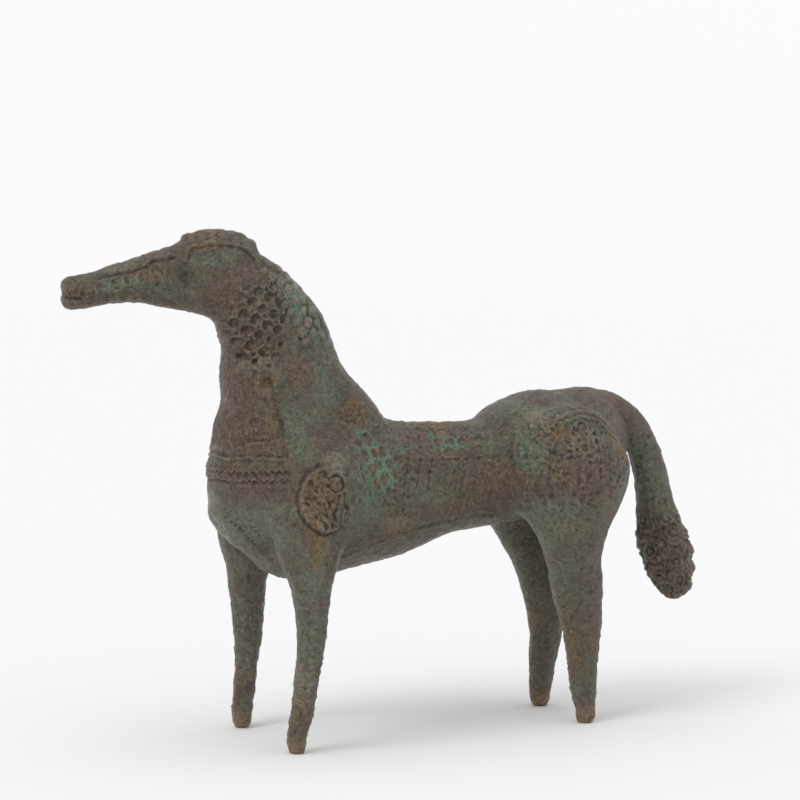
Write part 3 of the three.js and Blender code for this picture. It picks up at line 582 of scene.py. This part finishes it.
# Lowest and highest x and z of each relief.
RELIEFS = [
    ((-230, 278), (-138, 324), muzzle_relief),
    ((-160, 286), (-132, 320), eye_relief),
    ((-155, 300), (-92, 332), cap_relief),
    ((-128, 228), (-70, 306), neck_scales),
    ((-106, 222), (-40, 320), crest_scales),
    ((-120, 186), (-76, 256), throat_relief),
    ((-145, 138), (-88, 228), breast_relief),
    ((-145, 98), (-66, 168), chest_underside),
    ((-98, 136), (-30, 210), medallion_relief),
    ((-70, 194), (-16, 256), withers_relief),
    ((-60, 136), (12, 216), shoulder_stamps),
    ((-22, 140), (84, 212), flank_stamps),
    ((-56, 112), (70, 160), belly_relief),
    ((62, 132), (156, 222), haunch_relief),
    ((154, 60), (226, 216), club_relief),
    ((-115, 0), (150, 120), leg_relief),
    ((-230, 0), (230, 332), cast_skin),
]
ALL_ROUND = (cast_skin, leg_relief, club_relief, breast_relief)
FAR_SHARE = 0.65  # the far side carries the same relief, plainer


def fine_relief(points):
    """Height in millimetres, stamped discs and the seats between them, for each point."""
    height, disc, seat = (np.zeros(len(points)) for _ in range(3))
    x, y, z = points.T
    for low, high, relief in RELIEFS:
        here = np.flatnonzero((x > low[0]) & (x < high[0]) & (z > low[1]) & (z < high[1]))
        patch = Patch(points[here])
        relief(patch)
        share = 1 if relief in ALL_ROUND else np.where(patch.y > 0, FAR_SHARE, 1)
        height[here] += share * patch.height
        disc[here] = np.maximum(disc[here], patch.disc)
        seat[here] = np.maximum(seat[here], patch.seat)
    return height, disc, seat


# Colour zones
# An oval place on the side: centre x and z, half length, half height, turn in degrees, strength.

ZONES = {
    "red": [
        (-120, 294, 24, 20, 20, 1.0), (-112, 262, 16, 36, -10, 0.9), (-112, 225, 14, 26, 0, 0.8),
        (-112, 200, 22, 18, 0, 1.0), (-110, 172, 24, 14, 0, 0.7), (56, 165, 24, 14, -5, 1.2),
        (14, 190, 22, 14, 0, 0.8), (-76, 238, 14, 16, -40, 0.9), (112, 166, 30, 16, 0, 0.8),
        (160, 204, 22, 12, -40, 0.9), (-216, 294, 12, 8, 0, 0.9), (-62, 200, 16, 8, 0, 0.6),
        (-30, 186, 14, 10, 0, 0.6), (20, 146, 38, 9, 6, 0.9), (196, 100, 16, 32, 15, 0.7),
        (-84, 132, 5, 14, 0, 0.6), (-95, 60, 10, 40, 0, 0.4),
    ],
    "green": [
        (-66, 276, 11, 30, 28, 1.0), (-58, 232, 10, 22, 25, 1.2), (-128, 312, 20, 7, 5, 0.9),
        (-40, 165, 22, 34, 10, 0.9), (76, 184, 10, 26, -10, 1.0), (92, 207, 30, 8, -12, 0.9),
        (94, 132, 24, 26, 0, 0.9), (-84, 118, 14, 30, 0, 0.7), (-112, 142, 26, 14, -30, 0.9),
        (-192, 297, 26, 6, 10, 0.8), (-160, 296, 14, 8, 0, 0.5), (108, 90, 14, 50, 0, 0.6),
        (-84, 70, 12, 50, 0, 0.6), (182, 160, 14, 40, 20, 0.8), (6, 158, 26, 14, 0, 0.6),
        (-84, 202, 12, 20, 10, 0.9), (150, 160, 8, 24, 0, 0.7), (-70, 212, 24, 10, -20, 0.6),
        (55, 190, 16, 12, 0, 0.5), (-100, 152, 24, 8, 0, 0.5),
    ],
    "turquoise": [
        (-28, 180, 20, 32, 12, 1.0), (-34, 202, 10, 8, 0, 1.0), (-74, 284, 9, 18, 28, 0.9),
        (30, 188, 22, 12, 0, 1.0), (60, 190, 14, 10, 0, 0.7), (-56, 228, 7, 18, 30, 0.6),
        (-44, 158, 12, 16, 0, 0.9), (73, 194, 6, 14, 0, 0.8), (-4, 190, 16, 10, 0, 0.8),
        (-58, 258, 7, 14, 20, 0.6), (98, 96, 5, 14, 0, 0.8), (118, 26, 6, 14, 0, 0.9),
        (-120, 140, 12, 8, -40, 0.7), (-96, 148, 10, 12, 0, 0.3), (-192, 297, 24, 7, 10, 0.6),
        (-88, 44, 8, 16, 0, 0.5), (-130, 155, 5, 10, 0, 0.4), (-15, 150, 16, 10, 0, 0.6),
    ],
    "ochre": [
        (-78, 164, 14, 18, 0, 1.2), (-80, 138, 7, 22, 0, 1.2), (92, 198, 12, 10, 0, 1.1),
        (102, 192, 8, 12, 0, 1.0), (94, 172, 8, 8, 0, 0.9), (-40, 212, 12, 14, 0, 0.8),
        (-99, 234, 7, 6, 0, 1.2), (-93, 210, 5, 24, 0, 0.7), (144, 184, 6, 18, 0, 0.9),
        (112, 50, 9, 40, 0, 0.7), (-86, 30, 8, 20, 0, 0.6), (-14, 141, 14, 8, 10, 0.8),
        (130, 150, 20, 14, 0, 0.5), (-168, 303, 14, 5, 10, 0.8), (36, 152, 30, 8, 0, 0.3),
        (-130, 325, 14, 5, 0, 0.9), (-130, 186, 9, 4, 0, 1.0), (26, 198, 10, 5, 0, 0.9),
        (-30, 176, 14, 16, 0, 0.6), (104, 132, 20, 12, 0, 0.4),
    ],
    "pale": [
        (-76, 290, 14, 12, -35, 1.0), (-62, 182, 9, 7, 0, 1.0), (-72, 270, 8, 12, 0, 0.7),
        # The first oval below lies on the haunch's raised leaf: a painted highlight over its pale colour
        (88, 200, 8, 10, 0, 0.9), (118, 190, 20, 10, 0, 0.6), (-100, 244, 16, 8, 0, 0.7),
        (-130, 160, 5, 16, 20, 0.8), (-14, 142, 14, 8, 0, 0.7), (-100, 276, 18, 26, -10, 0.4),
        (-84, 44, 8, 20, 0, 0.5), (118, 22, 6, 12, 0, 0.6), (-180, 312, 30, 6, 15, 0.6),
    ],
    "dark": [
        # The first dark oval lies over the eye and is painted shade in its hollow
        (-148, 302, 8, 12, 0, 1.0), (-116, 158, 22, 10, 0, 0.3), (192, 112, 10, 24, 15, 0.8),
        (-93, 212, 4, 26, 0, 0.7), (110, 160, 22, 12, 0, 0.6), (15, 176, 26, 12, 0, 0.5),
        (-110, 126, 16, 8, -40, 0.5), (-104, 262, 16, 26, 0, 0.3), (-84, 134, 4, 12, 0, 0.7),
    ],
}


def zone_share(points, ovals, seed):
    """How far each point lies in a colour's zones. The far side has the same zones, weaker."""
    x, y, z = points.T
    wander_x = 5 * grain(x, y, z, 17, seed) + 2 * grain(x, y, z, 6, seed + 3)
    wander_z = 5 * grain(x, y, z, 17, seed + 5) + 2 * grain(x, y, z, 6, seed + 9)
    total = np.zeros(len(points))
    for cx, cz, along, high, degrees, strength in ovals:
        share = strength * bump(oval(x + wander_x, z + wander_z, (cx, cz), along * 1.3, high * 1.3, degrees), 1)
        total = np.maximum(total, share)
    return total * np.where(y > 12, 0.7, 1)


def add_attribute(mesh, name, values):
    layer = mesh.attributes.new(name, "FLOAT", "POINT")
    layer.data.foreach_set("value", values.astype(np.float32))


def colour_attributes(mesh, points, marks):
    """Writes what the material reads: colour zones, hollows, stamps and bare toes."""
    for seed, (name, ovals) in enumerate(ZONES.items()):
        add_attribute(mesh, name, zone_share(points, ovals, 200 + 10 * seed))
    for name, values in marks.items():
        add_attribute(mesh, name, values)
    x, y, z = points.T
    add_attribute(mesh, "toe", 1 - ramp(z + 2.5 * grain(x, y, z, 4, 211), 4, 15))


# Building the piece


def calm_share(points):
    """How much of the solid's own coarse carving is smoothed away before the fine relief: all of it on the
    broad sides, little on the head's edges, the tail's club and the legs."""
    x, y, z = points.T
    return 1 - 0.85 * np.maximum.reduce([
        1 - ramp(z, 96, 118),
        ramp(x, 150, 166),
        1 - ramp(x, -206, -196),
        ramp(z, 312, 318) * (1 - ramp(x, -98, -90)),
    ])


def build_horse():
    piece = refined_mesh(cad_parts[NODE])
    mesh = piece.data
    skin = Skin(mesh)
    skin.calm(60, calm_share(skin.points))
    set_points(mesh, skin.points)
    normals = normals_of(mesh)
    height, disc, seat = fine_relief(skin.points)
    height *= ramp(skin.points[:, 2], 0.6, 4)
    raised = skin.points + normals * height[:, None]
    low, high = np.array(CAD_LOW) / MM, np.array(CAD_HIGH) / MM
    raised = np.clip(raised, low, high)
    set_points(mesh, raised)
    hollow = skin.blurred(height, 24) - height
    marks = {"hollow": hollow, "disc": disc, "seat": seat}
    thin = piece.modifiers.new("thin", "DECIMATE")
    thin.ratio = min(1, TRIANGLES / (2 * len(mesh.polygons)))
    apply_modifiers(piece)
    carry_over(piece.data, raised, skin.points, marks)
    piece.data.shade_smooth()
    return piece


def carry_over(mesh, raised, rest, marks):
    """Gives each point of the thinned mesh the values of the nearest point of the full one."""
    tree = kdtree.KDTree(len(raised))
    for i, point in enumerate(raised):
        tree.insert(point, i)
    tree.balance()
    flat = np.zeros(len(mesh.vertices) * 3)
    mesh.vertices.foreach_get("co", flat)
    nearest = np.array([tree.find(point)[1] for point in flat.reshape(-1, 3) / MM])
    colour_attributes(mesh, rest[nearest], {name: values[nearest] for name, values in marks.items()})


# Material


class Nodes:
    """Makes and joins the nodes of one material."""

    def __init__(self, name):
        self.material = bpy.data.materials.new(name)
        self.material.use_nodes = True
        self.tree = self.material.node_tree
        self.tree.nodes.clear()

    def add(self, kind, inputs=(), **settings):
        node = self.tree.nodes.new(kind)
        for key, value in settings.items():
            setattr(node, key, value)
        for key, value in dict(inputs).items():
            self.feed(node.inputs[key], value)
        return node

    def feed(self, socket, value):
        if isinstance(value, bpy.types.NodeSocket):
            self.tree.links.new(value, socket)
        else:
            socket.default_value = value

    def value(self, name):
        return self.add("ShaderNodeAttribute", attribute_name=name).outputs["Fac"]

    def noise(self, size, detail=4, rough=0.6, distortion=0.0, at=None):
        """Noise with features of the given size in millimetres, from 0 to 1."""
        inputs = {"Scale": 1 / (size * MM), "Detail": detail, "Roughness": rough, "Distortion": distortion}
        node = self.add("ShaderNodeTexNoise", inputs)
        self.feed(node.inputs["Vector"], at or self.place())
        return node.outputs["Fac"]

    def voronoi(self, size, feature="F1"):
        node = self.add("ShaderNodeTexVoronoi", {"Scale": 1 / (size * MM)}, feature=feature)
        self.feed(node.inputs["Vector"], self.place())
        return node.outputs["Distance"]

    def place(self):
        return self.add("ShaderNodeTexCoord").outputs["Object"]

    def sum(self, a, b):
        return self.math("ADD", a, b)

    def times(self, a, b):
        return self.math("MULTIPLY", a, b)

    def math(self, operation, a, b):
        return self.add("ShaderNodeMath", {0: a, 1: b}, operation=operation).outputs[0]

    def ramp(self, value, start, end, low=0.0, high=1.0):
        inputs = {"Value": value, "From Min": start, "From Max": end, "To Min": low, "To Max": high}
        return self.add("ShaderNodeMapRange", inputs, interpolation_type="SMOOTHSTEP").outputs["Result"]

    def mix(self, share, a, b):
        node = self.add("ShaderNodeMix", data_type="RGBA", clamp_factor=True)
        for index, value in ((0, share), (6, a), (7, b)):
            self.feed(node.inputs[index], value)
        return node.outputs[2]


def tone(red, green, blue):
    """A display colour (0 to 255) as a shader colour."""
    return (*[((c / 255 + 0.055) / 1.055) ** 2.4 if c > 10 else c / 255 / 12.92 for c in (red, green, blue)], 1)


def bronze_material():
    n = Nodes("patinated_bronze")
    broad = n.noise(42, 5, 0.6)
    patch = n.noise(13, 6, 0.65, 0.5)
    mottle = n.noise(5, 6, 0.7, 0.6)
    fine = n.noise(2.4, 5, 0.7)
    speck = n.noise(1.1, 4, 0.75)
    hollow = n.value("hollow")
    deep = n.ramp(hollow, 0.02, 0.55)
    ridge = n.ramp(hollow, -0.05, -0.50)

    base = n.mix(n.ramp(mottle, 0.38, 0.62), tone(72, 61, 50), tone(101, 87, 70))
    base = n.mix(n.times(n.ramp(broad, 0.42, 0.60), 0.45), base, tone(90, 92, 74))

    def stain(under, name, colour, other, most):
        """Lays a colour over what is there, thick where its zone is strong and torn by the noise."""
        torn = n.sum(n.times(n.value(name), 0.55), n.times(n.sum(patch, mottle), 0.5))
        share = n.times(n.ramp(torn, 0.50, 0.98), most)
        return n.mix(share, under, n.mix(n.ramp(fine, 0.40, 0.60), colour, other))

    colour = stain(base, "dark", tone(50, 41, 33), tone(66, 54, 43), 0.55)
    colour = stain(colour, "green", tone(80, 92, 74), tone(112, 122, 100), 0.80)
    colour = stain(colour, "red", tone(82, 58, 48), tone(112, 88, 75), 0.80)
    colour = stain(colour, "ochre", tone(98, 74, 42), tone(130, 104, 66), 0.70)
    colour = stain(colour, "pale", tone(112, 108, 92), tone(146, 140, 124), 0.60)

    teal_zone = n.value("turquoise")
    seat = n.value("seat")
    teal = n.sum(n.times(teal_zone, 0.5), n.sum(n.times(seat, 0.45), n.times(n.sum(mottle, fine), 0.35)))
    teal = n.times(n.ramp(teal, 0.72, 1.10), n.ramp(teal_zone, 0.05, 0.6))
    colour = n.mix(n.times(teal, 0.78), colour, n.mix(n.ramp(speck, 0.42, 0.58), tone(70, 118, 98), tone(112, 160, 136)))

    green_fleck = n.times(n.ramp(n.noise(2.1, 5, 0.75), 0.56, 0.66), n.ramp(patch, 0.30, 0.62, 0.10, 0.55))
    colour = n.mix(green_fleck, colour, tone(122, 136, 112))
    rust_fleck = n.times(n.ramp(n.noise(1.7, 5, 0.75, 0.3), 0.60, 0.70), 0.50)
    colour = n.mix(rust_fleck, colour, tone(128, 92, 62))
    pit = n.ramp(n.noise(1.5, 5, 0.75, 0.8), 0.44, 0.33)
    # Hollows of the relief and small pits turn dark brown: partly dark patina settled in them, partly painted shade in
    # the hollows and pits
    dark = n.math("MAXIMUM", n.times(deep, 0.80), n.times(pit, 0.62))
    kept = n.ramp(teal, 0.0, 0.9, 1.0, 0.25)
    colour = n.mix(n.times(dark, kept), colour, tone(42, 34, 27))
    # Raised places and stamp discs turn pale: partly metal rubbed bare, partly a painted highlight on the tops
    wear_and_highlight = n.sum(n.times(ridge, 0.75), n.times(n.value("disc"), 0.30))
    rubbed_and_highlight = n.times(wear_and_highlight, n.ramp(fine, 0.36, 0.60))
    colour = n.mix(n.times(rubbed_and_highlight, 0.60), colour, n.mix(n.ramp(patch, 0.4, 0.6), tone(148, 136, 116), tone(160, 138, 118)))
    glint = n.times(n.ramp(speck, 0.60, 0.70), 0.45)
    colour = n.mix(glint, colour, tone(168, 160, 140))
    toe = n.times(n.value("toe"), n.ramp(fine, 0.34, 0.58))
    colour = n.mix(n.times(toe, 0.75), colour, n.mix(n.ramp(speck, 0.4, 0.6), tone(134, 96, 62), tone(176, 146, 112)))

    metal = n.sum(n.times(rubbed_and_highlight, 0.5), n.sum(n.times(toe, 0.4), n.times(glint, 0.6)))
    metal = n.ramp(metal, 0.0, 1.0, 0.15, 0.80)
    rough = n.sum(n.ramp(mottle, 0.35, 0.65, 0.36, 0.60), n.times(teal, 0.2))
    rough = n.math("SUBTRACT", rough, n.times(rubbed_and_highlight, 0.10))

    relief = n.sum(n.noise(2.6, 5, 0.72, 0.5), n.times(n.voronoi(2.0), 0.22))
    relief = n.sum(relief, n.times(pit, -0.12))
    bumped = n.add("ShaderNodeBump", {"Strength": 1.0, "Distance": 2.4 * MM, "Height": relief}).outputs["Normal"]

    shader = n.add("ShaderNodeBsdfPrincipled", {"Base Color": colour, "Metallic": metal, "Roughness": rough})
    shader.inputs["Coat Weight"].default_value = 0.5
    shader.inputs["Coat Roughness"].default_value = 0.25
    n.feed(shader.inputs["Normal"], bumped)
    n.feed(shader.inputs["Coat Normal"], bumped)
    output = n.add("ShaderNodeOutputMaterial")
    n.feed(output.inputs["Surface"], shader.outputs["BSDF"])
    return n.material


# Floor, light and camera


def build_floor():
    """A round pale dish: flat under the horse and rising gently far out on every side."""
    flat, reach, top, sides = 3.5, 12.0, 2.4, 96
    turns = np.linspace(0, 2 * math.pi, sides, endpoint=False)
    profile = [(flat + reach * t, top * t * t) for t in np.linspace(0, 1, 17)]
    points = [(0, 0, 0)]
    for radius, height in profile:
        points += [(radius * math.cos(t), radius * math.sin(t), height) for t in turns]
    faces = [(0, 1 + i, 1 + (i + 1) % sides) for i in range(sides)]
    for ring in range(len(profile) - 1):
        a, b = 1 + ring * sides, 1 + (ring + 1) * sides
        faces += [(a + i, b + i, b + (i + 1) % sides, a + (i + 1) % sides) for i in range(sides)]
    mesh = bpy.data.meshes.new("floor")
    mesh.from_pydata(points, [], faces)
    mesh.shade_smooth()
    floor = bpy.data.objects.new("floor", mesh)
    bpy.context.scene.collection.objects.link(floor)
    n = Nodes("pale_paper")
    shader = n.add("ShaderNodeBsdfPrincipled", {"Base Color": (0.86, 0.86, 0.86, 1), "Roughness": 0.9})
    shader.inputs["Specular IOR Level"].default_value = 0.1
    n.feed(n.add("ShaderNodeOutputMaterial").inputs["Surface"], shader.outputs["BSDF"])
    mesh.materials.append(n.material)


AZIMUTH, PITCH = -24.582, 5.712  # of the photograph's camera, in degrees
DISTANCE = 2.2
TARGET = Vector((0.0059, -0.0008, 0.2163))
SENSOR, LENS = 36, 152.4


def away(azimuth, elevation, distance, centre=TARGET):
    """A place seen from the centre at an azimuth and elevation. Azimuth 0 is on the horse's left side."""
    a, e = math.radians(azimuth), math.radians(elevation)
    return centre + distance * Vector((math.sin(a) * math.cos(e), -math.cos(a) * math.cos(e), math.sin(e)))


def look_at(thing, centre):
    thing.rotation_euler = (centre - thing.location).to_track_quat("-Z", "Y").to_euler()


def build_camera():
    data = bpy.data.cameras.new("camera")
    data.sensor_width, data.lens = SENSOR, LENS
    data.clip_start, data.clip_end = 0.05, 50
    camera = bpy.data.objects.new("camera", data)
    camera.location = away(AZIMUTH, PITCH, DISTANCE)
    look_at(camera, TARGET)
    bpy.context.scene.collection.objects.link(camera)
    bpy.context.scene.camera = camera


def soft_light(name, azimuth, elevation, spread, strength):
    """Even light from one side of the studio, as wide as the spread in degrees."""
    data = bpy.data.lights.new(name, "SUN")
    data.angle = math.radians(spread)
    data.energy = strength
    light = bpy.data.objects.new(name, data)
    light.location = away(azimuth, elevation, 3)
    look_at(light, TARGET)
    bpy.context.scene.collection.objects.link(light)


def build_light():
    soft_light("key", AZIMUTH - 48, 46, 28, 0.80)
    soft_light("top", AZIMUTH + 60, 84, 70, 0.60)
    world = bpy.data.worlds.new("studio")
    world.use_nodes = True
    background = world.node_tree.nodes["Background"]
    background.inputs["Color"].default_value = (1, 1, 1, 1)
    background.inputs["Strength"].default_value = 0.74
    bpy.context.scene.world = world
    bpy.context.scene.view_settings.view_transform = "Standard"


def main():
    build_camera()
    horse = build_horse()
    horse.data.materials.clear()
    horse.data.materials.append(bronze_material())
    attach(horse, "root")
    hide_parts(NODE)
    build_floor()
    build_light()


main()
